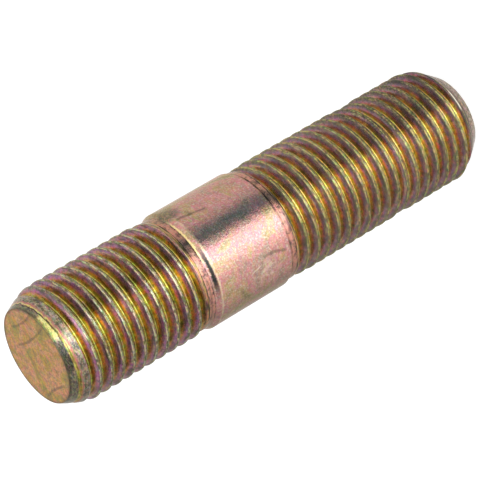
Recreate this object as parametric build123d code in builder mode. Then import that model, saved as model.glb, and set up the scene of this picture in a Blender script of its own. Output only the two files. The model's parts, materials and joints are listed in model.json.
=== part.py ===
from build123d import *
import os

os.makedirs("parts", exist_ok=True)

# Double ended stud, M14 x 1.5, rolled from one steel bar. All sizes are in millimetres.
# It stands on its long end: the origin is the centre of that end's face, and +Z runs up the axis
# to the face of the short end.

# Lengths along the axis
long_end_length = 29.75  # rounded point to shank
shank_length = 10.0
short_end_length = 19.55  # shank to chamfered point

# Thread, the same at both ends. The crests' cylinder stands for it here.
thread_d = 13.8  # over the rolled crests
thread_pitch = 1.5

# Plain shank, a little larger than the threads
shank_d = 14.0
long_shoulder_length = 0.15  # sharp edge above the long end's thread
short_shoulder_length = 0.55  # cone below the short end's thread

# Plain bands of the bar between the shank and each thread, where the rolling stops
long_band_d = 13.46
long_band_length = 0.9
short_band_d = 13.3
short_band_length = 0.8

# Turns over which the crests rise from the plain band to their full height
long_runout_turns = 2
short_runout_turns = 1

# Points: a flat face, then a crowned taper up to the crests
long_face_d = 10.0
long_point_length = 2.9
short_face_d = 11.2
short_point_length = 3.0
point_crown = 0.09  # how far each taper swells beyond a straight cone

# Stations up the axis, from the origin
shank_foot = long_end_length
shank_top = shank_foot + shank_length
stud_top = shank_top + short_end_length

long_band_top = shank_foot - long_shoulder_length
long_band_foot = long_band_top - long_band_length
long_crests_top = long_band_foot - long_runout_turns * thread_pitch

short_band_foot = shank_top + short_shoulder_length
short_band_top = short_band_foot + short_band_length
short_crests_foot = short_band_top + short_runout_turns * thread_pitch
short_crests_top = stud_top - short_point_length


with BuildPart() as stud:
    with BuildSketch(Plane.XZ) as half_section:
        with BuildLine() as outline:
            # Long end, from its face up to the shank
            long_face = Line((0, 0), (long_face_d / 2, 0))
            long_point = SagittaArc(long_face @ 1, (thread_d / 2, long_point_length), point_crown)
            long_crests = Line(long_point @ 1, (thread_d / 2, long_crests_top))
            long_runout = Line(long_crests @ 1, (long_band_d / 2, long_band_foot))
            long_band = Line(long_runout @ 1, (long_band_d / 2, long_band_top))

            # Shank between its two shoulders
            long_shoulder = Line(long_band @ 1, (shank_d / 2, shank_foot))
            shank = Line(long_shoulder @ 1, (shank_d / 2, shank_top))
            short_shoulder = Line(shank @ 1, (short_band_d / 2, short_band_foot))

            # Short end, from the shank up to its face
            short_band = Line(short_shoulder @ 1, (short_band_d / 2, short_band_top))
            short_runout = Line(short_band @ 1, (thread_d / 2, short_crests_foot))
            short_crests = Line(short_runout @ 1, (thread_d / 2, short_crests_top))
            short_point = SagittaArc(short_crests @ 1, (short_face_d / 2, stud_top), point_crown)
            short_face = Line(short_point @ 1, (0, stud_top))

            axis_line = Line(short_face @ 1, (0, 0))
        make_face()
    revolve(axis=Axis.Z)

stud.part.label = "stud"
export_step(stud.part, "parts/stud.step")
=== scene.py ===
import json
import math

import bpy
import numpy as np
from mathutils import Matrix, Vector


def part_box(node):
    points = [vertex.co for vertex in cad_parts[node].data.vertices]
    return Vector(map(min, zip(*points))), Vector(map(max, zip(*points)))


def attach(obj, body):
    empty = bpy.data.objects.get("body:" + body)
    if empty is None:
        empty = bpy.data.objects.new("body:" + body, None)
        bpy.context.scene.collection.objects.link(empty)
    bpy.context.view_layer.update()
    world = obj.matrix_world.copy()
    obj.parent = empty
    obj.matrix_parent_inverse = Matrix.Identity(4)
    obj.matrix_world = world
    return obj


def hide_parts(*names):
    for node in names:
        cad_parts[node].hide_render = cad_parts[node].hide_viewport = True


# A double ended stud in yellow zinc plated steel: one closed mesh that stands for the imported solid,
# on a pale floor in soft light. Lengths are in metres, so millimetres are written times MM.
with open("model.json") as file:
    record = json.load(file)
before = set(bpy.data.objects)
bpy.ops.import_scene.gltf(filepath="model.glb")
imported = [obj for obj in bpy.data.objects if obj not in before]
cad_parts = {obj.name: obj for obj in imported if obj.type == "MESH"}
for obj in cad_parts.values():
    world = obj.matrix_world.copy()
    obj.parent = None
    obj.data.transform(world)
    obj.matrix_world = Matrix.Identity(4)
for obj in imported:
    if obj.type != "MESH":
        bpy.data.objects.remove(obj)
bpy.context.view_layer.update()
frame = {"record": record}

MM = 0.001

# ---------------------------------------------------------------------------------------------
# Sizes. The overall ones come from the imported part, and the rest are those of the details on it.
# ---------------------------------------------------------------------------------------------
stud_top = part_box("stud")[1].z
mounts = {mount["name"]: mount for mount in frame["record"]["mounts"]}
crest_r = mounts["short_thread"]["dims"]["r_mm"] * MM
shank_r = mounts["shank"]["dims"]["r_mm"] * MM
shank_middle = mounts["shank"]["pos_m"][2]
shank_half = mounts["shank"]["dims"]["length_mm"] * MM / 2
shank_foot = shank_middle - shank_half
shank_top = shank_middle + shank_half

# Thread form
PITCH = 1.5 * MM
GROOVE_DEPTH = 0.92 * MM
CREST_HALF_WIDTH = 0.12 * MM
FLANK_SLOPE = 1 / math.tan(math.radians(30))
CREST_ROUNDING = 0.12 * MM
ROOT_ROUNDING = 0.20 * MM
SEAM_DEPTH = 0.02 * MM
SEAM_HALF_WIDTH = 0.025 * MM

# Height of a crest at the front of the stud, on each end
SHORT_CREST_Z = 57.79 * MM
LONG_CREST_Z = 25.79 * MM

# Points
LONG_FACE_R = 5.0 * MM
LONG_POINT = 2.9 * MM
SHORT_FACE_R = 5.6 * MM
SHORT_POINT = 3.0 * MM
POINT_CROWN = 0.09 * MM
POINT_ROUNDING = 0.06 * MM

# How far the thread stands out of a point where the cut starts, and where it is whole
CUT_START = -0.02 * MM
CUT_WHOLE = 0.05 * MM

# Bands and shoulders between the threads and the shank
LONG_BAND_R = 6.73 * MM
LONG_BAND_TOP = shank_foot - 0.15 * MM
LONG_BAND_FOOT = LONG_BAND_TOP - 0.9 * MM
SHORT_BAND_R = 6.65 * MM
SHORT_BAND_FOOT = shank_top + 0.55 * MM
SHORT_BAND_TOP = SHORT_BAND_FOOT + 0.8 * MM

# Run-outs: how far from a band the crests reach full height, and the grooves full depth
LONG_CREST_RUNOUT = 2 * PITCH
LONG_GROOVE_RUNOUT = 0.8 * MM
SHORT_CREST_RUNOUT = 1 * PITCH
SHORT_GROOVE_RUNOUT = 0.9 * MM

# The small rounded edges of the shank, at its foot and at its top
EDGE_STEP = 0.02 * MM
EDGE_HEIGHT = 0.03 * MM
TOP_EDGE_RISE = 0.01 * MM

# The lap line that each groove leaves where it runs out on a point
LAP_DEPTH = 0.10 * MM
LAP_HALF_WIDTH = 0.07 * MM
LAP_R = crest_r - 0.85 * MM  # it is whole where the point is wider than this
LAP_REACH = 0.25 * MM  # and fades out over this much less

# What is left of the last crest on the long end's point. It dies out towards the face.
LAST_CREST_HEIGHT = 0.10 * MM
LAST_CREST_HALF_WIDTH = 0.24 * MM
LAST_CREST_GONE_Z = 1.5 * MM
LAST_CREST_WHOLE_Z = 1.9 * MM

# A flat worn round the long end's crests
WORN_Z = 11.8 * MM
WORN_HALF_LENGTH = 1.1 * MM
WORN_DEPTH = 0.15 * MM
WORN_FROM_RISE = 0.5  # it reaches half-way down the flanks

# Mesh density
COLUMNS = 132
SHANK_ROWS = 20
FACE_RINGS = (0.97, 0.9, 0.75, 0.5, 0.25, 0.08)  # shares of the face's radius
SNAP = 0.02 * MM  # a vertex this near the end of its strip gives way to the ring there

# Distances from a crest's middle to the rows of the mesh, in half pitches
ROW_STEPS = (0, 0.06, 0.11, 0.16, 0.21, 0.27, 0.45, 0.65, 0.75, 0.84, 0.92, 1)

FRONT = -math.pi / 2  # the front of the stud faces -Y
SHARP_ANGLE = math.radians(28)

# Zones of the mesh, in the order of its materials
THREAD_ZONE, SHANK_ZONE, FACE_ZONE = 0, 1, 2


# ---------------------------------------------------------------------------------------------
# Shape of the stud
# ---------------------------------------------------------------------------------------------
def smooth_min(a, b, blend):
    """The smaller of a and b, with the corner between them rounded over blend."""
    near = np.maximum(blend - np.abs(a - b), 0) / blend
    return np.minimum(a, b) - near * near * blend / 4


def fade(value, start, end):
    """0 before start, 1 after end, and smooth between them."""
    t = np.clip((value - start) / (end - start), 0, 1)
    return t * t * (3 - 2 * t)


def bell(value, half_width):
    """1 at 0, and nearly 0 from twice the half width on."""
    return np.exp(-(value / half_width) ** 2)


def groove_depth(from_crest):
    """Depth below the crests at a distance along the axis from the nearest crest's middle."""
    flank = -smooth_min(0 * from_crest, (CREST_HALF_WIDTH - from_crest) * FLANK_SLOPE, CREST_ROUNDING)
    return smooth_min(flank, GROOVE_DEPTH + 0 * flank, ROOT_ROUNDING)


def taper(up, face_r, length):
    """Radius of a crowned point at a height up from its face."""
    t = up / length
    crown = 4 * POINT_CROWN * np.clip(t, 0, 1) * (1 - np.clip(t, 0, 1))
    return face_r + (crest_r - face_r) * t + crown


def distance_from_crest(z, angle, short):
    """Distance along the axis from the nearest crest's middle, on right-hand threads."""
    crest_z = np.where(short, SHORT_CREST_Z, LONG_CREST_Z) + PITCH * (angle - FRONT) / (2 * math.pi)
    turn = (z - crest_z) / PITCH
    return np.abs(turn - np.round(turn)) * PITCH


def crest_radius(z, short):
    """Radius of the crests, which sink to the band's radius at the run-outs."""
    past_band = np.where(short, (z - SHORT_BAND_TOP) / SHORT_CREST_RUNOUT,
                         (LONG_BAND_FOOT - z) / LONG_CREST_RUNOUT)
    band_r = np.where(short, SHORT_BAND_R, LONG_BAND_R)
    return band_r + (crest_r - band_r) * fade(past_band, 0, 1)


def groove_share(z, short):
    """Share of the full groove depth: 0 at the bands and 1 past the run-outs."""
    short_share = fade(z, SHORT_BAND_TOP, SHORT_BAND_TOP + SHORT_GROOVE_RUNOUT)
    long_share = 1 - fade(z, LONG_BAND_FOOT - LONG_GROOVE_RUNOUT, LONG_BAND_FOOT)
    return np.where(short, short_share, long_share)


def stud_surface(z, angle):
    """Radius of the threaded ends at a height and an angle, and the marks that the materials use.

    Of the marks, rise is 0 at the bottom of a groove and 1 on a crest, plain is 1 on the points
    and at the bands, and seam is 1 along the rolling seam on the crests and along the lap lines.
    """
    short = z > shank_middle
    from_crest = distance_from_crest(z, angle, short)
    grown = groove_share(z, short)
    depth = groove_depth(from_crest)
    rise = 1 - depth / GROOVE_DEPTH
    seam = bell(from_crest, SEAM_HALF_WIDTH) * grown
    worn = np.exp(-(((z - WORN_Z) / WORN_HALF_LENGTH) ** 4)) * fade(rise, WORN_FROM_RISE, 1)
    thread = crest_radius(z, short) - depth * grown - seam * SEAM_DEPTH - worn * WORN_DEPTH

    point = np.where(short, taper(stud_top - z, SHORT_FACE_R, SHORT_POINT),
                     taper(z, LONG_FACE_R, LONG_POINT))
    cut = fade(thread - point, CUT_START, CUT_WHOLE)
    lap = bell(PITCH / 2 - from_crest, LAP_HALF_WIDTH) * fade(point, LAP_R - LAP_REACH, LAP_R) * cut
    last_crest = bell(from_crest, LAST_CREST_HALF_WIDTH) * cut * ~short
    last_crest = last_crest * fade(z, LAST_CREST_GONE_Z, LAST_CREST_WHOLE_Z)

    radius = smooth_min(thread, point, POINT_ROUNDING)
    radius = radius - lap * LAP_DEPTH + last_crest * LAST_CREST_HEIGHT
    plain = np.maximum(cut * (1 - last_crest), 1 - grown)
    return radius, rise, plain, np.maximum(seam * (1 - cut), lap)


def column_angle(column):
    return FRONT + 2 * math.pi * column / COLUMNS


def thread_rows(z_lo, z_hi, crest_z):
    """Heights, at the first column, of rows that follow the thread, and the rows in one turn.

    They start below the strip, because a row climbs by a whole pitch on its way round.
    """
    half_turn = [PITCH / 2 * step for step in ROW_STEPS]
    one_turn = half_turn + [PITCH - step for step in half_turn[-2:0:-1]]
    first = math.floor((z_lo - crest_z) / PITCH) - 2
    last = math.ceil((z_hi - crest_z) / PITCH) + 1
    starts = [crest_z + PITCH * turn + offset for turn in range(first, last) for offset in one_turn]
    return np.array(starts), len(one_turn)


class Shell:
    """Rings and strips of one closed mesh, each with COLUMNS vertices round the axis."""

    def __init__(self):
        self.points = []
        self.marks = []
        self.faces = []
        self.zones = []

    def vertex(self, radius, angle, z, rise=1.0, plain=1.0, seam=0.0):
        self.points.append((radius * math.cos(angle), radius * math.sin(angle), z))
        self.marks.append((rise, plain, seam))
        return len(self.points) - 1

    def ring(self, radius, z):
        return [self.vertex(radius, column_angle(c), z) for c in range(COLUMNS)]

    def face(self, corners, zone):
        """A face round its corners, or none where fewer than three of them differ."""
        kept = list(dict.fromkeys(corners))
        if len(kept) > 2:
            self.faces.append(kept)
            self.zones.append(zone)

    def join(self, lower, upper, zone):
        for c in range(COLUMNS):
            d = (c + 1) % COLUMNS
            self.face((lower[c], lower[d], upper[d], upper[c]), zone)

    def disc(self, rim, radius, z, up):
        """Closes a ring with a flat face that looks up or down."""
        previous = rim
        for share in FACE_RINGS:
            ring = self.ring(radius * share, z)
            lower, upper = (previous, ring) if up else (ring, previous)
            self.join(lower, upper, FACE_ZONE)
            previous = ring
        middle = self.vertex(0, 0, z)
        for c in range(COLUMNS):
            d = (c + 1) % COLUMNS
            edge = (previous[c], previous[d]) if up else (previous[d], previous[c])
            self.face((*edge, middle), FACE_ZONE)

    def lathe(self, start, outline):
        """Goes on from a ring with one ring for each place on an outline, and gives back the last."""
        previous = start
        for radius, z in outline:
            ring = self.ring(radius, z)
            self.join(previous, ring, SHANK_ZONE)
            previous = ring
        return previous

    def thread(self, lower, upper, z_lo, z_hi, crest_z):
        """A strip that winds round the stud between two rings, with its rows along the thread."""
        starts, per_turn = thread_rows(z_lo, z_hi, crest_z)
        ids = self.thread_vertices(starts, lower, upper, z_lo, z_hi)
        rows = len(ids)
        for row in range(rows - 1):
            for c in range(COLUMNS):
                # Past its last column, a row meets the first column of the row a turn further on.
                beside, d = (row, c + 1) if c < COLUMNS - 1 else (row + per_turn, 0)
                if beside + 1 < rows:
                    corners = (ids[row, c], ids[beside, d], ids[beside + 1, d], ids[row + 1, c])
                    self.face(corners, THREAD_ZONE)

    def thread_vertices(self, starts, lower, upper, z_lo, z_hi):
        """The vertices of each row. Beyond the ends of the strip, they are those of its two rings."""
        angles = np.array([column_angle(c) for c in range(COLUMNS)])
        z = starts[:, None] + PITCH * np.arange(COLUMNS)[None, :] / COLUMNS
        radius, rise, plain, seam = stud_surface(z, angles[None, :] + 0 * z)
        ids = np.empty(z.shape, int)
        for at in np.ndindex(z.shape):
            c = at[1]
            if z[at] < z_lo + SNAP:
                ids[at] = lower[c]
            elif z[at] > z_hi - SNAP:
                ids[at] = upper[c]
            else:
                ids[at] = self.vertex(radius[at], angles[c], z[at], rise[at], plain[at], seam[at])
        return ids


def build_stud():
    """The whole stud as one closed mesh, from the long end's face up to the short end's."""
    shell = Shell()
    long_rim = shell.ring(LONG_FACE_R, 0)
    long_band_foot = shell.ring(LONG_BAND_R, LONG_BAND_FOOT)
    shell.disc(long_rim, LONG_FACE_R, 0, up=False)
    shell.thread(long_rim, long_band_foot, 0, LONG_BAND_FOOT, LONG_CREST_Z)

    straight_foot = shank_foot + EDGE_HEIGHT
    straight_length = shank_top - EDGE_HEIGHT - straight_foot
    outline = [(LONG_BAND_R, LONG_BAND_TOP), (shank_r - EDGE_STEP, shank_foot)]
    outline += [(shank_r, straight_foot + straight_length * k / SHANK_ROWS) for k in range(SHANK_ROWS + 1)]
    outline += [(shank_r - EDGE_STEP, shank_top + TOP_EDGE_RISE), (SHORT_BAND_R, SHORT_BAND_FOOT)]
    outline += [(SHORT_BAND_R, SHORT_BAND_TOP)]
    short_band_top = shell.lathe(long_band_foot, outline)

    short_rim = shell.ring(SHORT_FACE_R, stud_top)
    shell.thread(short_band_top, short_rim, SHORT_BAND_TOP, stud_top, SHORT_CREST_Z)
    shell.disc(short_rim, SHORT_FACE_R, stud_top, up=True)
    return shell


def make_stud(materials):
    shell = build_stud()
    mesh = bpy.data.meshes.new("threaded_stud")
    mesh.from_pydata(shell.points, [], shell.faces)
    for name, values in zip(("rise", "plain", "seam"), zip(*shell.marks)):
        layer = mesh.attributes.new(name, "FLOAT", "POINT")
        layer.data.foreach_set("value", np.array(values, np.float32))
    for material in materials:
        mesh.materials.append(material)
    mesh.polygons.foreach_set("material_index", np.array(shell.zones, np.int32))
    mesh.validate()
    mesh.shade_smooth()
    mesh.set_sharp_from_angle(angle=SHARP_ANGLE)
    stud = bpy.data.objects.new("threaded_stud", mesh)
    bpy.context.scene.collection.objects.link(stud)
    return stud


# ---------------------------------------------------------------------------------------------
# Tools for the materials
# ---------------------------------------------------------------------------------------------
PER_MM = 1000.0  # texture coordinates are in metres, so a scale of PER_MM has one cell a millimetre
WHITE = (1, 1, 1, 1)


def tone(red, green, blue):
    """A colour written as 0 to 255 in sRGB, as the linear RGBA that sockets take."""
    def linear(v):
        v /= 255
        return v / 12.92 if v <= 0.04045 else ((v + 0.055) / 1.055) ** 2.4
    return (linear(red), linear(green), linear(blue), 1)


# The sheen that stands for dust on the plating
HAZE_TINT = tone(190, 178, 170)
HAZE_ROUGHNESS = 0.7


def on_stud(degrees, radius, z):
    """A place on the stud or round it: an angle from the front towards -X, a radius and a height."""
    a = math.radians(degrees)
    return (-radius * math.sin(a), -radius * math.cos(a), z)


class Nodes:
    """Adds nodes to a material or world and joins them up."""

    def __init__(self, owner):
        owner.use_nodes = True
        self.tree = owner.node_tree
        self.tree.nodes.clear()

    def add(self, kind, inputs=None, output=0, **settings):
        node = self.tree.nodes.new("ShaderNode" + kind)
        for name, value in settings.items():
            setattr(node, name, value)
        for key, value in (inputs or {}).items():
            if isinstance(value, bpy.types.NodeSocket):
                self.tree.links.new(value, node.inputs[key])
            else:
                node.inputs[key].default_value = value
        return node.outputs[output]

    def finish(self, kind, shader):
        out = self.tree.nodes.new("ShaderNodeOutput" + kind)
        self.tree.links.new(shader, out.inputs["Surface"])

    # Numbers
    def math(self, operation, a, b=0.0):
        return self.add("Math", {0: a, 1: b}, operation=operation)

    def plus(self, a, b):
        return self.math("ADD", a, b)

    def minus(self, a, b):
        return self.math("SUBTRACT", a, b)

    def times(self, a, b):
        return self.math("MULTIPLY", a, b)

    def larger(self, a, b):
        return self.math("MAXIMUM", a, b)

    def between(self, factor, a, b):
        """A number that goes from a to b as factor goes from 0 to 1."""
        return self.add("Mix", {0: factor, 2: a, 3: b})

    def span(self, value, low, high, to_low=0.0, to_high=1.0):
        """to_low where value is below low, to_high where it is above high, and smooth between them."""
        inputs = {"Value": value, "From Min": low, "From Max": high, "To Min": to_low, "To Max": to_high}
        return self.add("MapRange", inputs, interpolation_type="SMOOTHSTEP")

    def wobble(self, value, noise, reach):
        """A value that a noise moves by up to half of reach each way."""
        return self.plus(value, self.times(self.minus(noise, 0.5), reach))

    def inside(self, value, low, high, soft):
        """1 where value lies between low and high, with soft edges."""
        return self.times(self.span(value, low - soft, low + soft),
                          self.span(value, high - soft, high + soft, 1, 0))

    # Colours
    def mix(self, factor, a, b, blend="MIX"):
        return self.add("Mix", {0: factor, 6: a, 7: b}, output=2, data_type="RGBA", blend_type=blend)

    def ramp(self, factor, *stops):
        socket = self.add("ValToRGB", {"Fac": factor})
        elements = socket.node.color_ramp.elements
        while len(elements) < len(stops):
            elements.new(0.5)
        for element, (position, colour) in zip(elements, stops):
            element.position = position
            element.color = colour
        return socket

    # Places and patterns
    def mark(self, name):
        return self.add("Attribute", output="Fac", attribute_name=name)

    def upward(self, vector):
        """The Z part of a place or a direction."""
        return self.add("SeparateXYZ", {0: vector}, output="Z")

    def distance(self, a, b):
        return self.add("VectorMath", {0: a, 1: b}, output="Value", operation="DISTANCE")

    def stretched(self, where, across, up):
        return self.add("VectorMath", {0: where, 1: (across, across, up)}, operation="MULTIPLY")

    def from_axis(self, where):
        return self.distance(self.stretched(where, 1, 0), (0, 0, 0))

    def noise(self, where, scale, detail, roughness, distortion=0.0):
        inputs = {"Vector": where, "Scale": scale, "Detail": detail, "Roughness": roughness,
                  "Distortion": distortion}
        return self.add("TexNoise", inputs)

    def near(self, where, ragged, place, inner, outer):
        """1 close to a place and 0 away from it, with a ragged edge between."""
        off = self.wobble(self.distance(where, place), ragged, inner)
        return self.span(off, inner, outer, 1, 0)

    def scratch(self, where, ragged, place, centre, reach, width):
        """1 along a thin curve through a place, bowed round a centre, as far as its reach."""
        off = self.math("ABSOLUTE", self.minus(self.distance(where, centre), math.dist(place, centre)))
        off = self.wobble(off, ragged, width)
        return self.times(self.span(off, width / 4, width, 1, 0),
                          self.near(where, ragged, place, reach * 0.6, reach))

    def scratched(self, colour, where, ragged, scratches, width, strength, tint):
        """A colour with scratches over it, each given as a place, a centre and a reach."""
        for place, centre, reach in scratches:
            line = self.scratch(where, ragged, place, centre, reach, width)
            colour = self.mix(self.times(line, strength), colour, tint)
        return colour

    # Surface
    def bump(self, height, distance, strength, normal=None):
        inputs = {"Height": height, "Distance": distance, "Strength": strength}
        if normal is not None:
            inputs["Normal"] = normal
        return self.add("Bump", inputs)

    def iridescence(self, where, colour, strength):
        """Fine grains of changed hue, as the plating's film has."""
        inputs = {"Vector": self.stretched(where, 0.5, 1), "Scale": 4 * PER_MM, "Detail": 3.0}
        grains = self.add("TexNoise", inputs, output="Color")
        return self.mix(strength, colour, grains, "OVERLAY")

    def metal(self, colour, roughness, normal, share=1.0, edge=WHITE, haze=0.0):
        """Plated metal. share is how metallic it is, edge its tint at glancing angles, haze its dust."""
        inputs = {"Base Color": colour, "Roughness": roughness, "Normal": normal, "Metallic": share,
                  "Specular Tint": edge, "Sheen Weight": haze, "Sheen Roughness": HAZE_ROUGHNESS,
                  "Sheen Tint": HAZE_TINT}
        self.finish("Material", self.add("BsdfPrincipled", inputs))


# ---------------------------------------------------------------------------------------------
# Material of the threaded ends
# ---------------------------------------------------------------------------------------------
# The long end's colours give way to the short end's between these heights
LONG_COLOURS_END = 28 * MM
SHORT_COLOURS_START = 30 * MM

# Where there is no thread, the long point's colours give way to those of the run-outs between the
# first two heights, and these to the short point's between the last two
LONG_POINT_END = 3 * MM
RUNOUTS_START = 5 * MM
RUNOUTS_END = 54 * MM
SHORT_POINT_START = 55 * MM

LAP_FRONT_Z = SHORT_CREST_Z + PITCH / 2  # height of the lap line at the front of the short point
# Where the short point's rim has a painted highlight and a patch of painted shade
RIM_HIGHLIGHT = on_stud(-20, 5.8 * MM, stud_top - 0.4 * MM)
RIM_SHADE = on_stud(16, 5.85 * MM, stud_top - 0.5 * MM)

DARKENED_SIDE = on_stud(-62, crest_r, 9 * MM)
CREST_STAINS = (on_stud(-65, crest_r, 5.3 * MM),
                on_stud(-56, crest_r, 3.9 * MM),
                on_stud(-46, 6.4 * MM, 1.9 * MM))

# Where a painted highlight lies on the long end's last crest
CREST_HIGHLIGHT_Z = 1.8 * MM
CREST_HIGHLIGHT_HALF_HEIGHT = 0.15 * MM
CREST_HIGHLIGHT = on_stud(-10, 6.3 * MM, CREST_HIGHLIGHT_Z)

# Tints of the plating at glancing angles, as linear RGBA
DULL_EDGE = (0.45, 0.42, 0.38, 1)
WARM_EDGE = (1, 0.9, 0.84, 1)
POINT_EDGE = (1, 0.96, 0.88, 1)
SHANK_EDGE = (1, 0.94, 0.82, 1)


class ThreadMaps:
    """What the threads are painted by: marks in the mesh, places, and noises of several sizes.

    facing is 1 where the surface looks up the stud and -1 where it looks down it. The noises go
    from wide patches to fine grit, and all but the patches and specks are stretched round the stud.
    """

    def __init__(self, n):
        self.where = n.add("TexCoord", output="Object")
        self.height = n.upward(self.where)
        self.facing = n.upward(n.add("TexCoord", output="Normal"))
        self.long_end = n.span(self.height, LONG_COLOURS_END, SHORT_COLOURS_START, 1, 0)
        self.rise = n.mark("rise")
        self.plain = n.mark("plain")
        self.seam = n.mark("seam")
        self.on_crest = n.span(self.rise, 0.86, 0.95)
        self.patches = n.noise(self.where, 0.3 * PER_MM, 4, 0.6)
        self.specks = n.noise(self.where, 5.5 * PER_MM, 3, 0.6)
        self.clouds = n.noise(n.stretched(self.where, 0.5, 1), 2.6 * PER_MM, 4, 0.65)
        self.grit = n.noise(n.stretched(self.where, 0.45, 1), 7 * PER_MM, 4, 0.7)
        self.dashes = n.noise(n.stretched(self.where, 0.3, 1), 4 * PER_MM, 3, 0.6)
        self.streaks = n.noise(n.stretched(self.where, 0.07, 1), 5 * PER_MM, 3, 0.6)


def thread_material():
    """Cream crests, golden roots, flanks from olive to plum, and turned points, with grit, darker patches,
    and painted highlights and shade.
    """
    material = bpy.data.materials.new("plated_thread")
    n = Nodes(material)
    maps = ThreadMaps(n)
    colour = n.mix(maps.on_crest, flank_colour(n, maps), crest_colour(n, maps))
    # Painted shade along the rolling seam on the crests
    seam_shade = n.times(maps.seam, 0.55)
    colour = n.mix(seam_shade, colour, tone(66, 58, 38))
    dark_grit = n.span(maps.grit, 0.3, 0.48, 0.6, 0)
    colour = n.mix(dark_grit, colour, tone(50, 44, 30))
    colour = n.mix(maps.plain, colour, plain_colour(n, maps))
    # Painted shade along the lap lines on the points
    lap_shade = n.times(n.times(maps.seam, maps.plain), 0.8)
    colour = n.mix(lap_shade, colour, tone(52, 44, 34))
    colour = thread_wear(n, maps, colour)
    thread_finish(n, maps, n.iridescence(maps.where, colour, 0.7))
    return material


def flank_colour(n, maps):
    """The two flanks of the grooves, with streaks along them and painted shade in the roots."""
    looks_up = n.span(maps.facing, -0.3, 0.1)
    colour = n.mix(looks_up, far_flank_colour(n, maps), near_flank_colour(n, maps))
    dark_streaks = n.times(n.span(maps.streaks, 0.36, 0.5, 0.6, 0), n.span(maps.long_end, 0, 1, 1, 0.5))
    colour = n.mix(dark_streaks, colour, tone(60, 58, 26))
    # Painted shade: the roots darkened in broken dashes, for shade at the bottom of the grooves
    root_shade = n.times(n.span(maps.rise, 0.04, 0.16, 1, 0), n.span(maps.dashes, 0.42, 0.56, 0.4, 0))
    colour = n.mix(root_shade, colour, tone(84, 78, 32))
    gold_streaks = n.span(maps.streaks, 0.54, 0.66, 0, 0.4)
    return n.mix(gold_streaks, colour, tone(214, 186, 120))


def near_flank_colour(n, maps):
    """The flanks that look up the stud: gold at the root, then orange or pink, then plum, with clouds."""
    short_end = n.ramp(maps.rise,
                       (0.0, tone(200, 192, 96)),
                       (0.08, tone(170, 152, 54)),
                       (0.2, tone(184, 150, 48)),
                       (0.34, tone(206, 136, 56)),
                       (0.52, tone(174, 106, 124)),
                       (0.7, tone(160, 104, 152)),
                       (0.88, tone(116, 100, 122)))
    long_end = n.ramp(maps.rise,
                      (0.0, tone(210, 182, 94)),
                      (0.08, tone(190, 150, 50)),
                      (0.18, tone(180, 138, 56)),
                      (0.32, tone(188, 110, 80)),
                      (0.44, tone(176, 96, 118)),
                      (0.6, tone(144, 102, 138)),
                      (0.74, tone(110, 90, 92)),
                      (0.86, tone(90, 86, 58)))
    colour = n.mix(maps.long_end, short_end, long_end)
    colour = n.mix(n.times(maps.rise, 0.6), colour, mottle_colour(n, maps))
    olive_clouds = n.span(maps.clouds, 0.35, 0.5, 0.5, 0)
    colour = n.mix(olive_clouds, colour, tone(96, 90, 56))
    rosy_clouds = n.span(maps.clouds, 0.52, 0.66, 0, 0.5)
    return n.mix(rosy_clouds, colour, tone(190, 136, 140))


def mottle_colour(n, maps):
    """Large patches of olive, pink, plum and grey, weaker on the long end."""
    colour = n.ramp(maps.patches,
                    (0.36, tone(134, 124, 68)),
                    (0.48, tone(162, 118, 114)),
                    (0.56, tone(176, 112, 140)),
                    (0.68, tone(120, 116, 100)))
    return n.mix(n.times(maps.long_end, 0.6), colour, tone(136, 126, 96))


def far_flank_colour(n, maps):
    """The flanks that look down the stud: gold at the root, then cream, and olive at the crest."""
    return n.ramp(maps.rise,
                  (0.0, tone(206, 190, 82)),
                  (0.3, tone(200, 176, 88)),
                  (0.5, tone(196, 176, 150)),
                  (0.75, tone(176, 162, 156)),
                  (0.92, tone(104, 98, 60)))


def crest_colour(n, maps):
    """The crests: an olive band, golden on the long end's lower side, and a cream line on its upper edge
    that is a painted highlight.
    """
    band = n.mix(maps.long_end, tone(138, 132, 78), tone(134, 124, 78))
    clear_of_grit = n.span(maps.grit, 0.36, 0.6)
    band = n.mix(clear_of_grit, tone(86, 80, 42), band)
    lower_side = n.times(maps.long_end, n.span(maps.facing, -0.3, -0.02, 1, 0))
    golden = n.times(lower_side, n.span(maps.grit, 0.4, 0.6))
    band = n.mix(golden, band, tone(164, 132, 54))
    # Painted highlight: the cream line, broken in dashes, on the edge of the crests that looks up the stud
    line = n.mix(maps.long_end, tone(198, 186, 148), tone(178, 164, 106))
    unbroken = n.span(maps.dashes, 0.4, 0.56)
    line = n.mix(unbroken, tone(112, 104, 74), line)
    upper_edge = n.span(maps.facing, 0.05, 0.3)
    return n.mix(upper_edge, band, line)


def plain_colour(n, maps):
    """Where there is no thread: the long end's point, the run-outs, and the short end's point."""
    runouts = n.mix(n.span(maps.streaks, 0.42, 0.54), tone(70, 56, 36), tone(192, 146, 98))
    past_long_point = n.span(maps.height, LONG_POINT_END, RUNOUTS_START)
    colour = n.mix(past_long_point, long_point_colour(n, maps), runouts)
    on_short_point = n.span(maps.height, RUNOUTS_END, SHORT_POINT_START)
    return n.mix(on_short_point, colour, short_point_colour(n, maps))


def long_point_colour(n, maps):
    """The long end's point: brown turning marks, and a paler rim by its face that is a painted highlight."""
    colour = n.mix(n.span(maps.streaks, 0.42, 0.56), tone(60, 54, 42), tone(112, 92, 82))
    # Painted highlight: the point is paler close to its face
    rim = n.mix(n.span(maps.grit, 0.36, 0.6), tone(112, 104, 88), tone(186, 166, 148))
    on_rim = n.span(maps.height, 0.9 * MM, 1.5 * MM, 1, 0)
    return n.mix(on_rim, colour, rim)


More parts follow.
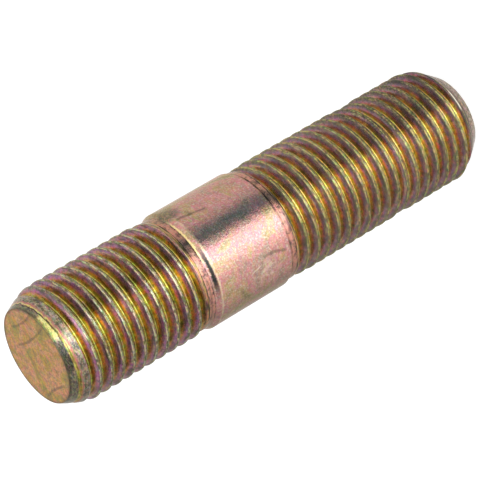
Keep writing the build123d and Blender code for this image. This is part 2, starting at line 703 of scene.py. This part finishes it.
def short_point_colour(n, maps):
    """The short end's point: a ridge below the lap line, a rim above it, and painted shade in the crevice
    between.
    """
    x_y_z = n.add("SeparateXYZ", {0: maps.where}).node
    turned = n.math("ARCTAN2", x_y_z.outputs["X"], n.times(x_y_z.outputs["Y"], -1.0))
    lap_z = n.plus(LAP_FRONT_Z, n.times(turned, PITCH / (2 * math.pi)))
    past_lap = n.minus(maps.height, lap_z)
    ragged = n.wobble(past_lap, maps.clouds, 0.5 * MM)
    on_rim = n.span(past_lap, -0.06 * MM, 0.02 * MM)
    colour = n.mix(on_rim, ridge_colour(n, maps, ragged), rim_colour(n, maps))
    # Painted shade in the crevice between the ridge and the rim
    crevice = n.times(n.inside(ragged, -0.08 * MM, 0.03 * MM, 0.03 * MM),
                      n.span(maps.grit, 0.36, 0.5, 0.5, 0.9))
    return n.mix(crevice, colour, tone(38, 34, 26))


def ridge_colour(n, maps, past_lap):
    """The short point's ridge: cream and grey, with painted highlights in pink near the lap line and in gold
    close to it.
    """
    colour = n.mix(n.span(maps.clouds, 0.38, 0.6), tone(86, 82, 68), tone(162, 144, 120))
    pale_specks = n.span(maps.specks, 0.5, 0.66, 0, 0.45)
    colour = n.mix(pale_specks, colour, tone(214, 200, 170))
    dark_streaks = n.span(maps.streaks, 0.38, 0.5, 0.5, 0)
    colour = n.mix(dark_streaks, colour, tone(72, 66, 50))
    # Painted highlight: a pink band near the lap line
    pink = n.inside(past_lap, -0.4 * MM, -0.16 * MM, 0.12 * MM)
    colour = n.mix(pink, colour, tone(176, 118, 104))
    # Painted highlight: a golden line close to the lap line
    golden = n.inside(past_lap, -0.2 * MM, -0.08 * MM, 0.04 * MM)
    return n.mix(golden, colour, tone(214, 190, 120))


def rim_colour(n, maps):
    """The short point's rim: stained, with a painted highlight, a patch of painted shade, and a dark edge at
    the face.
    """
    colour = n.mix(n.span(maps.grit, 0.34, 0.64), tone(80, 76, 62), tone(150, 136, 108))
    grey_stains = n.span(maps.clouds, 0.4, 0.5, 0.6, 0)
    colour = n.mix(grey_stains, colour, tone(74, 76, 76))
    # Painted highlight: a yellow place on the rim
    bright = n.near(maps.where, maps.specks, RIM_HIGHLIGHT, 1.2 * MM, 2.0 * MM)
    yellow = n.mix(n.span(maps.grit, 0.3, 0.56), tone(124, 114, 56), tone(232, 224, 140))
    colour = n.mix(bright, colour, yellow)
    # Painted shade: a dark place on the rim, standing for a dark reflection
    dark = n.times(n.near(maps.where, maps.clouds, RIM_SHADE, 1.2 * MM, 2.2 * MM),
                   n.span(maps.grit, 0.34, 0.6, 1, 0.5))
    colour = n.mix(dark, colour, tone(40, 40, 32))
    at_face = n.span(n.from_axis(maps.where), SHORT_FACE_R + 0.06 * MM, SHORT_FACE_R + 0.16 * MM, 0.7, 0)
    return n.mix(at_face, colour, tone(70, 64, 44))


def thread_wear(n, maps, colour):
    """Darkened crests on one side of the long end, stains on its crests, and a painted highlight on its last
    crest.
    """
    # The crests and upper flanks darken round a place on the long end's side
    side_darkening = n.times(n.near(maps.where, maps.patches, DARKENED_SIDE, 5 * MM, 9 * MM),
                    n.span(maps.specks, 0.4, 0.6))
    side_darkening = n.times(n.times(side_darkening, n.span(maps.rise, 0.4, 0.8)), 0.8)
    colour = n.mix(side_darkening, colour, tone(44, 42, 34))
    for place in CREST_STAINS:
        stain = n.times(n.near(maps.where, maps.grit, place, 0.5 * MM, 1.5 * MM),
                        n.span(maps.rise, 0.5, 0.9))
        colour = n.mix(n.times(stain, 0.85), colour, tone(46, 48, 44))
    # Painted highlight: a near-white streak along the last crest
    painted_glint = n.times(n.inside(maps.height, CREST_HIGHLIGHT_Z - CREST_HIGHLIGHT_HALF_HEIGHT,
                              CREST_HIGHLIGHT_Z + CREST_HIGHLIGHT_HALF_HEIGHT, 0.06 * MM),
                     n.near(maps.where, maps.grit, CREST_HIGHLIGHT, 0.9 * MM, 1.7 * MM))
    return n.mix(painted_glint, colour, tone(255, 250, 225))


def thread_finish(n, maps, colour):
    """Clean glossy roots, and hazier, less metallic flanks above them, most of all on the long end."""
    crest_roughness = n.between(maps.long_end, 0.2, 0.32)
    flank_roughness = n.span(maps.rise, 0.2, 0.5, 0.11, 0.19)
    roughness = n.between(maps.on_crest, flank_roughness, crest_roughness)

    dusty = n.times(maps.long_end, n.minus(1.0, maps.on_crest))
    clean = n.times(n.span(maps.rise, 0.25, 0.55, 1, 0), n.minus(1.0, maps.plain))
    clean = n.times(clean, n.span(maps.long_end, 0, 1, 0.6, 0.3))
    share = n.between(n.times(dusty, n.span(maps.rise, 0.4, 0.7)), 0.86, 0.56)
    share = n.between(clean, share, 1.0)
    haze = n.times(n.between(dusty, 0.2, 0.38), n.minus(1.0, clean))

    on_long_point = n.span(maps.height, LONG_POINT_END, LONG_POINT_END + 1 * MM, 1, 0)
    edge = n.mix(n.span(maps.grit, 0.36, 0.6), DULL_EDGE, WARM_EDGE)
    edge = n.mix(n.times(maps.plain, on_long_point), POINT_EDGE, edge)

    normal = n.bump(maps.specks, 0.008 * MM, 0.9)
    normal = n.bump(maps.grit, 0.010 * MM, 0.9, normal)
    normal = n.bump(maps.streaks, 0.012 * MM, 0.6, normal)
    n.metal(colour, roughness, normal, share, edge, haze)


# ---------------------------------------------------------------------------------------------
# Material of the shank, its bands and its shoulders
# ---------------------------------------------------------------------------------------------
SHOULDER_GLINT = on_stud(-26, shank_r, shank_top)
SHOULDER_SHADE = on_stud(14, shank_r, shank_top)
SHOULDER_STAIN = on_stud(-58, shank_r, shank_top - 0.2 * MM)
SHANK_GLINTS = on_stud(42, shank_r, 33.2 * MM)

# Scratches: a place on each, the centre that it curves round, and its reach
DARK_SHANK_SCRATCHES = (
    (on_stud(-43, shank_r, 37.7 * MM), on_stud(47, 30 * MM, 43 * MM), 2.3 * MM),
    (on_stud(28, shank_r, 31.9 * MM), on_stud(84, shank_r, 33 * MM), 1.9 * MM),
    (on_stud(150, shank_r, 33.5 * MM), on_stud(90, shank_r, 31 * MM), 2.6 * MM))
PALE_SHANK_SCRATCHES = (
    (on_stud(35, shank_r, 34.7 * MM), on_stud(125, 30 * MM, 26 * MM), 0.9 * MM),
    (on_stud(-140, shank_r, 36.4 * MM), on_stud(-90, shank_r, 33 * MM), 1.4 * MM))


class ShankMaps:
    """What the shank is painted by: places, noises, and heights that the noises make ragged."""

    def __init__(self, n):
        self.where = n.add("TexCoord", output="Object")
        self.height = n.upward(self.where)
        self.patches = n.noise(self.where, 0.22 * PER_MM, 4, 0.65, 0.6)
        self.blotches = n.noise(self.where, 1.6 * PER_MM, 4, 0.7)
        self.specks = n.noise(self.where, 5 * PER_MM, 3, 0.7)
        self.streaks = n.noise(n.stretched(self.where, 0.07, 1), 5 * PER_MM, 3, 0.6)
        self.ragged = n.wobble(n.wobble(self.height, self.specks, 0.25 * MM), self.blotches, 0.3 * MM)
        self.crisp = n.wobble(self.height, self.blotches, 0.12 * MM)


def shank_material():
    """Cream and pink plating on the plain shank, darker at its shoulders, with scratches."""
    material = bpy.data.materials.new("plated_shank")
    n = Nodes(material)
    maps = ShankMaps(n)
    colour = shank_colour(n, maps)
    colour = shoulder_lines(n, maps, colour)
    colour = shank_wear(n, maps, colour)
    colour = n.iridescence(maps.where, colour, 0.35)
    roughness = n.span(maps.blotches, 0.3, 0.7, 0.1, 0.2)
    normal = n.bump(maps.specks, 0.026 * MM, 0.9)
    normal = n.bump(maps.blotches, 0.024 * MM, 0.7, normal)
    n.metal(colour, roughness, normal, edge=SHANK_EDGE)
    return material


def shank_colour(n, maps):
    """Cream and pink patches on the shank, and rosier bands with dark streaks round them."""
    colour = n.ramp(maps.patches,
                    (0.36, tone(148, 130, 90)),
                    (0.44, tone(188, 154, 114)),
                    (0.51, tone(202, 134, 134)),
                    (0.58, tone(186, 144, 128)),
                    (0.66, tone(152, 130, 118)))
    dull_blotches = n.span(maps.blotches, 0.35, 0.62, 0.35, 0)
    colour = n.mix(dull_blotches, colour, tone(128, 108, 92))
    pale_specks = n.span(maps.specks, 0.45, 0.7, 0, 0.5)
    colour = n.mix(pale_specks, colour, tone(220, 206, 190))
    band = n.mix(n.span(maps.blotches, 0.36, 0.54), tone(120, 88, 80), tone(200, 142, 122))
    dark_streaks = n.span(maps.streaks, 0.38, 0.5, 0.5, 0)
    band = n.mix(dark_streaks, band, tone(76, 60, 52))
    on_band = n.larger(n.inside(maps.height, LONG_BAND_FOOT, LONG_BAND_TOP, 0.08 * MM),
                       n.inside(maps.height, SHORT_BAND_FOOT, SHORT_BAND_TOP, 0.08 * MM))
    return n.mix(n.times(on_band, 0.9), colour, band)


def shoulder_lines(n, maps, colour):
    """A painted glint and a painted highlight along the edge at the upper shoulder, and painted shade in
    dark lines round both shoulders.
    """
    glint = n.inside(maps.ragged, shank_top + 0.38 * MM, SHORT_BAND_FOOT + 0.06 * MM, 0.05 * MM)
    glint = n.times(glint, n.near(maps.where, maps.blotches, SHOULDER_GLINT, 1.5 * MM, 4.2 * MM))
    colour = n.mix(n.times(glint, 0.9), colour, tone(240, 214, 150))
    # Painted highlight: a pale line along the shank's top edge
    edge_highlight = n.inside(maps.ragged, shank_top - 0.3 * MM, shank_top - 0.05 * MM, 0.08 * MM)
    edge_highlight = n.times(edge_highlight, n.span(maps.patches, 0.4, 0.56, 0.1, 0.7))
    colour = n.mix(edge_highlight, colour, tone(224, 206, 168))

    # Painted shade on the upper shoulder's cone, thickest round one place
    shoulder = n.inside(maps.ragged, shank_top - 0.02 * MM, shank_top + 0.38 * MM, 0.1 * MM)
    shoulder = n.times(shoulder, n.near(maps.where, maps.blotches, SHOULDER_SHADE, 1 * MM, 4 * MM))
    short_line = n.inside(maps.ragged, SHORT_BAND_FOOT, SHORT_BAND_FOOT + 0.1 * MM, 0.05 * MM)
    short_line = n.times(short_line, n.span(maps.blotches, 0.4, 0.6, 1, 0.3))
    top_line = n.inside(maps.crisp, LONG_BAND_TOP - 0.26 * MM, LONG_BAND_TOP - 0.06 * MM, 0.04 * MM)
    foot_line = n.inside(maps.crisp, LONG_BAND_FOOT, LONG_BAND_FOOT + 0.14 * MM, 0.04 * MM)
    long_lines = n.times(n.larger(top_line, foot_line), n.span(maps.patches, 0.4, 0.55, 0.9, 0.35))
    # All these dark lines are painted shade at the shoulders' steps and grooves
    shade_lines = n.larger(shoulder, n.larger(short_line, long_lines))
    return n.mix(shade_lines, colour, tone(52, 50, 46))


def shank_wear(n, maps, colour):
    """A stain at the upper shoulder, scratches, and painted glints in pale specks."""
    stain = n.times(n.near(maps.where, maps.blotches, SHOULDER_STAIN, 0.7 * MM, 1.9 * MM),
                    n.span(maps.specks, 0.35, 0.6, 0.3, 0.9))
    colour = n.mix(stain, colour, tone(88, 90, 76))
    colour = n.scratched(colour, maps.where, maps.blotches, DARK_SHANK_SCRATCHES, 0.26 * MM, 0.5,
                         tone(78, 68, 56))
    colour = n.scratched(colour, maps.where, maps.blotches, PALE_SHANK_SCRATCHES, 0.1 * MM, 0.4,
                         tone(240, 224, 204))
    # Painted highlight: pale glinting specks round a place on the shank
    painted_glint = n.times(n.near(maps.where, maps.specks, SHANK_GLINTS, 0.2 * MM, 2.4 * MM),
                     n.span(maps.blotches, 0.4, 0.6))
    return n.mix(n.times(painted_glint, 0.45), colour, tone(232, 214, 190))


# ---------------------------------------------------------------------------------------------
# Material of the end faces
# ---------------------------------------------------------------------------------------------
# Three scratches on the short end's face and one on the long end's: a place on each, the centre
# that it curves round, and its reach
FACE_SCRATCHES = (
    ((3.75 * MM, -1.3 * MM, stud_top), (18 * MM, -1 * MM, stud_top), 3.6 * MM),
    ((1.75 * MM, -1 * MM, stud_top), (22 * MM, -0.6 * MM, stud_top), 4.8 * MM),
    ((-4 * MM, 0.1 * MM, stud_top), (-20 * MM, 0, stud_top), 2.8 * MM),
    ((-1 * MM, 2 * MM, 0), (4 * MM, 9 * MM, 0), 3.2 * MM))


def face_material():
    """Ochre plating on the flat ends, with pink patches and dark curved scratches."""
    material = bpy.data.materials.new("plated_face")
    n = Nodes(material)
    where = n.add("TexCoord", output="Object")
    patches = n.noise(where, 0.3 * PER_MM, 4, 0.65, 0.5)
    blotches = n.noise(where, 1.5 * PER_MM, 4, 0.7)
    specks = n.noise(where, 6 * PER_MM, 3, 0.6)
    colour = n.ramp(patches,
                    (0.38, tone(166, 138, 72)),
                    (0.46, tone(194, 152, 72)),
                    (0.54, tone(212, 150, 112)),
                    (0.62, tone(184, 144, 60)))
    brown_blotches = n.span(blotches, 0.36, 0.6, 0.5, 0)
    colour = n.mix(brown_blotches, colour, tone(118, 98, 62))
    dark_specks = n.span(specks, 0.3, 0.55, 0.5, 0)
    colour = n.mix(dark_specks, colour, tone(104, 86, 56))
    colour = n.scratched(colour, where, blotches, FACE_SCRATCHES, 0.22 * MM, 0.5, tone(84, 70, 48))
    rim = n.span(n.from_axis(where), SHORT_FACE_R - 0.4 * MM, SHORT_FACE_R, 0, 0.7)
    colour = n.mix(rim, colour, tone(84, 72, 48))
    colour = n.iridescence(where, colour, 0.5)
    roughness = n.span(blotches, 0.3, 0.7, 0.3, 0.45)
    normal = n.bump(specks, 0.02 * MM, 0.9)
    normal = n.bump(blotches, 0.04 * MM, 0.8, normal)
    n.metal(colour, roughness, normal)
    return material


# ---------------------------------------------------------------------------------------------
# Stage
# ---------------------------------------------------------------------------------------------
FLOOR_HALF_SIDE = 3.0  # metres
FLOOR_DROP = 0.01 * MM  # keeps the floor just clear of the face that the stud stands on
FLOOR_GLOW = 0.9
FLOOR_GREY = (0.3, 0.3, 0.3, 1)
WORLD_LIGHT = 0.7  # the world's light on the stud, while the camera and reflections see it as white

# What the plating mirrors round the stud: an angle from the front towards -X in degrees, and the
# brightness there on the ground and on the wall behind it
REFLECTOR_COLUMNS = (
    (-180, 0.9, 0.9),
    (-110, 0.9, 1.0),
    (-90, 0.95, 1.05),
    (-62, 0.85, 1.15),
    (-50, 0.33, 1.2),
    (-28, 0.16, 1.4),
    (-20, 0.6, 1.8),
    (-12, 2.1, 2.8),
    (-4, 2.75, 3.9),
    (14, 2.75, 3.8),
    (28, 1.7, 2.2),
    (48, 1.15, 1.15),
    (80, 0.9, 0.85),
    (110, 0.5, 0.55),
    (150, 0.5, 0.5),
    (180, 0.9, 0.9))

# The reflector's rows, from the stud outwards and then up: the distance and the height in
# millimetres, how far the ground's brightness has given way to the wall's, and how much of it is
# left, the rest being plain white
REFLECTOR_ROWS = (
    (8, 0.2, 0, 1),
    (150, 0.2, 0, 1),
    (165, 30, 0.5, 1),
    (165, 60, 1, 1),
    (160, 140, 1, 0.85),
    (120, 220, 1, 0.45),
    (60, 270, 1, 0))

# The reflector's tint where it is dark and where it is brightest, as linear RGBA
DARK_TINT = (0.88, 1.35, 1.6, 1)
BRIGHT_TINT = (0.92, 1.03, 1.13, 1)


def seen_or_mirrored(n):
    """1 for rays from the camera and for rays that the object reflects or passes."""
    path = n.add("LightPath").node
    direct = n.larger(path.outputs["Is Camera Ray"], path.outputs["Is Glossy Ray"])
    return n.larger(direct, path.outputs["Is Transmission Ray"])


def make_floor():
    side = FLOOR_HALF_SIDE
    corners = [(-side, -side, 0), (side, -side, 0), (side, side, 0), (-side, side, 0)]
    mesh = bpy.data.meshes.new("studio_floor")
    mesh.from_pydata(corners, [], [(0, 1, 2, 3)])
    material = bpy.data.materials.new("pale_floor")
    n = Nodes(material)
    strength = n.times(seen_or_mirrored(n), FLOOR_GLOW)
    glow = n.add("Emission", {"Color": WHITE, "Strength": strength})
    matt = n.add("BsdfDiffuse", {"Color": FLOOR_GREY})
    n.finish("Material", n.add("AddShader", {0: glow, 1: matt}))
    mesh.materials.append(material)
    floor = bpy.data.objects.new("studio_floor", mesh)
    floor.location.z = -FLOOR_DROP
    bpy.context.scene.collection.objects.link(floor)


def make_world():
    world = bpy.data.worlds.new("studio")
    bpy.context.scene.world = world
    n = Nodes(world)
    strength = n.larger(seen_or_mirrored(n), WORLD_LIGHT)
    n.finish("World", n.add("Background", {"Color": WHITE, "Strength": strength}))


def reflector_mesh():
    """A sweep over the ground round the stud and up into a wall, with the brightness of each point."""
    points = []
    brightness = []
    for distance, height, wall_share, strength in REFLECTOR_ROWS:
        for angle, ground, wall in REFLECTOR_COLUMNS:
            points.append(on_stud(angle, distance * MM, height * MM))
            full = ground + (wall - ground) * wall_share
            brightness.append(1 + (full - 1) * strength)
    count = len(REFLECTOR_COLUMNS)
    starts = [row * count for row in range(len(REFLECTOR_ROWS) - 1)]
    faces = [(s + k, s + k + 1, s + count + k + 1, s + count + k) for s in starts for k in range(count - 1)]
    mesh = bpy.data.meshes.new("reflector")
    mesh.from_pydata(points, [], faces)
    layer = mesh.attributes.new("glow", "FLOAT", "POINT")
    layer.data.foreach_set("value", brightness)
    return mesh


def make_reflector():
    """What softboxes and dark flags round the stud would show in its plating. Only reflections see it."""
    mesh = reflector_mesh()
    material = bpy.data.materials.new("reflector")
    n = Nodes(material)
    glow = n.mark("glow")
    colour = n.mix(n.span(glow, 0.2, 0.6), DARK_TINT, WHITE)
    colour = n.mix(n.span(glow, 1.7, 2.8), colour, BRIGHT_TINT)
    n.finish("Material", n.add("Emission", {"Color": colour, "Strength": glow}))
    mesh.materials.append(material)
    reflector = bpy.data.objects.new("reflector", mesh)
    bpy.context.scene.collection.objects.link(reflector)
    reflector.visible_camera = False
    reflector.visible_diffuse = False
    reflector.visible_shadow = False
    reflector.visible_transmission = False


def make_lamp():
    """A soft lamp overhead, aimed at the stud."""
    place = Vector((0, 0.1, 0.7))
    aim = Vector((0, 0, 0.03))
    data = bpy.data.lights.new("overhead_softbox", "AREA")
    data.shape = "SQUARE"
    data.size = 0.5
    data.energy = 1.2
    lamp = bpy.data.objects.new("overhead_softbox", data)
    lamp.location = place
    lamp.rotation_euler = (aim - place).to_track_quat("-Z", "Y").to_euler()
    lamp.visible_camera = False
    bpy.context.scene.collection.objects.link(lamp)


# ---------------------------------------------------------------------------------------------
# Camera
# ---------------------------------------------------------------------------------------------
def make_camera():
    """Looks down on the front of the upright stud, rolled so that it lies across the picture."""
    elevation = math.radians(28.595)
    roll = math.radians(-120.5)
    aim = Vector((-0.321, 0.164, 31.301)) * MM
    distance = 292.3 * MM
    back = Vector((0, -math.cos(elevation), math.sin(elevation)))
    level = Vector((1, 0, 0))
    upright = back.cross(level)
    right = math.cos(roll) * level + math.sin(roll) * upright
    up = back.cross(right)
    data = bpy.data.cameras.new("camera")
    data.lens = 200
    data.sensor_width = 36
    data.clip_start = 0.01
    data.clip_end = 10
    camera = bpy.data.objects.new("camera", data)
    turn = Matrix((right, up, back)).transposed().to_4x4()
    camera.matrix_world = Matrix.Translation(aim + back * distance) @ turn
    bpy.context.scene.collection.objects.link(camera)
    bpy.context.scene.camera = camera


bpy.context.scene.view_settings.view_transform = "Standard"
stud = make_stud([thread_material(), shank_material(), face_material()])
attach(stud, "root")
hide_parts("stud")
make_floor()
make_world()
make_reflector()
make_lamp()
make_camera()
